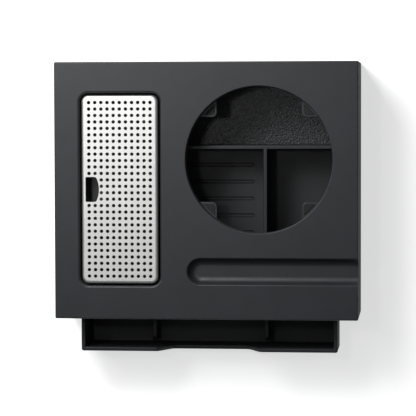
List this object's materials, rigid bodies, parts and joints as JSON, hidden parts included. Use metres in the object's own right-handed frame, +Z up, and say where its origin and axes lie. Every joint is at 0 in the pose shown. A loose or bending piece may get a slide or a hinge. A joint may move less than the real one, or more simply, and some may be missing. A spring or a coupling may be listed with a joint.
{
  "type": "countertop drinks station",
  "caption": "Low countertop station with a lift-out perforated drip grid and pan, a round seat for a kettle base, a spoon channel and a pull-out divided drawer.",
  "frame": {"origin": "on the table, in the middle of the footprint of the whole station with its drawer standing 36 mm open", "axes": "+X to the right as seen by someone facing the drawer, +Y from the drawer front to the back, +Z up"},
  "size_m": [0.305, 0.294, 0.0904],
  "materials": {
    "housing_plastic": "moulded matt black ABS with a fine spark-eroded texture",
    "drawer_plastic": "moulded matt black ABS, smoother than the housing",
    "grained_plastic": "moulded black ABS with a leather grain on its upper face",
    "pan_plastic": "moulded satin black plastic",
    "runner_plastic": "moulded dark grey acetal",
    "rubber": "moulded matt black rubber",
    "stainless": "punched and satin-finished stainless steel sheet",
    "zinc": "bright zinc plating"
  },
  "bodies": {
    "cabinet": {"housing": "housing_plastic", "base_plate": "grained_plastic", "runner_left": "runner_plastic", "runner_right": "runner_plastic", "seat_pad_1": "rubber", "seat_pad_2": "rubber", "seat_pad_3": "rubber", "seat_pad_4": "rubber", "foot_1": "rubber", "foot_2": "rubber", "foot_3": "rubber", "foot_4": "rubber", "base_screw_1": "zinc", "base_screw_2": "zinc", "base_screw_3": "zinc", "base_screw_4": "zinc", "base_screw_5": "zinc", "base_screw_6": "zinc", "runner_screw_1": "zinc", "runner_screw_2": "zinc", "runner_screw_3": "zinc", "runner_screw_4": "zinc"},
    "sliding_drawer": {"drawer": "drawer_plastic"},
    "lift_out_pan": {"drip_pan": "pan_plastic"},
    "lift_off_grid": {"drip_grid": "stainless"}
  },
  "joints": [
    {"name": "drawer_slide", "type": "slide", "parent": "cabinet", "child": "sliding_drawer", "axis": [0, -1, 0], "range_m": [-0.036, 0.106]},
    {"name": "pan_lift", "type": "slide", "parent": "cabinet", "child": "lift_out_pan", "axis": [0, 0, 1], "range_m": [0, 0.06]},
    {"name": "grid_lift", "type": "slide", "parent": "lift_out_pan", "child": "lift_off_grid", "axis": [0, 0, 1], "range_m": [0, 0.04]}
  ]
}
